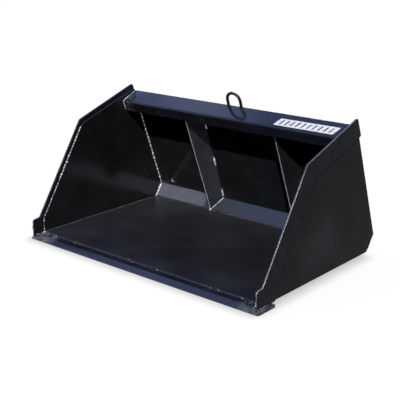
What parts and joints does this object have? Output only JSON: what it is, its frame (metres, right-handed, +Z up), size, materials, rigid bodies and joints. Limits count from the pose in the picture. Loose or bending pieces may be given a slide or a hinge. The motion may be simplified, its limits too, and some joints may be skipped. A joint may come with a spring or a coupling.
{
  "type": "skid steer bucket",
  "caption": "Welded steel skid steer bucket with a sloped back, bent stiffeners, reinforced sides, cutting edge, lifting loop and universal quick-attach back.",
  "frame": {"origin": "centre of the overall box in plan, on the ground plane under the cutting edge and heel bar", "axes": "+X across the bucket to the right seen from the open front, +Y from the cutting edge back to the machine, +Z up"},
  "size_m": [1.796, 1.2688, 0.915],
  "materials": {
    "cutting_edge": "semi-gloss black paint",
    "floor_plate": "semi-gloss black paint",
    "heel_wear_bar": "semi-gloss black paint",
    "wear_runner_left": "semi-gloss black paint",
    "wear_runner_right": "semi-gloss black paint",
    "rear_sheet": "semi-gloss black paint",
    "top_lip": "semi-gloss black paint",
    "side_plate_left": "semi-gloss black paint",
    "side_plate_right": "semi-gloss black paint",
    "side_strip_left": "semi-gloss black paint",
    "side_strip_right": "semi-gloss black paint",
    "stiffener_left": "semi-gloss black paint",
    "stiffener_right": "semi-gloss black paint",
    "lifting_loop": "semi-gloss black paint",
    "name_mark": "satin white film",
    "attach_plate": "semi-gloss black paint",
    "attach_hook": "semi-gloss black paint",
    "attach_lower_flange": "semi-gloss black paint",
    "attach_ear_left": "semi-gloss black paint",
    "attach_ear_right": "semi-gloss black paint",
    "hook_gusset_1": "semi-gloss black paint",
    "hook_gusset_2": "semi-gloss black paint",
    "hook_gusset_3": "semi-gloss black paint",
    "hook_gusset_4": "semi-gloss black paint",
    "lower_gusset_1": "semi-gloss black paint",
    "lower_gusset_2": "semi-gloss black paint",
    "lower_gusset_3": "semi-gloss black paint",
    "lower_gusset_4": "semi-gloss black paint"
  },
  "bodies": {
    "root": {"cutting_edge": "cutting_edge", "floor_plate": "floor_plate", "heel_wear_bar": "heel_wear_bar", "wear_runner_left": "wear_runner_left", "wear_runner_right": "wear_runner_right", "rear_sheet": "rear_sheet", "top_lip": "top_lip", "side_plate_left": "side_plate_left", "side_plate_right": "side_plate_right", "side_strip_left": "side_strip_left", "side_strip_right": "side_strip_right", "stiffener_left": "stiffener_left", "stiffener_right": "stiffener_right", "lifting_loop": "lifting_loop", "name_mark": "name_mark", "attach_plate": "attach_plate", "attach_hook": "attach_hook", "attach_lower_flange": "attach_lower_flange", "attach_ear_left": "attach_ear_left", "attach_ear_right": "attach_ear_right", "hook_gusset_1": "hook_gusset_1", "hook_gusset_2": "hook_gusset_2", "hook_gusset_3": "hook_gusset_3", "hook_gusset_4": "hook_gusset_4", "lower_gusset_1": "lower_gusset_1", "lower_gusset_2": "lower_gusset_2", "lower_gusset_3": "lower_gusset_3", "lower_gusset_4": "lower_gusset_4"}
  },
  "joints": []
}
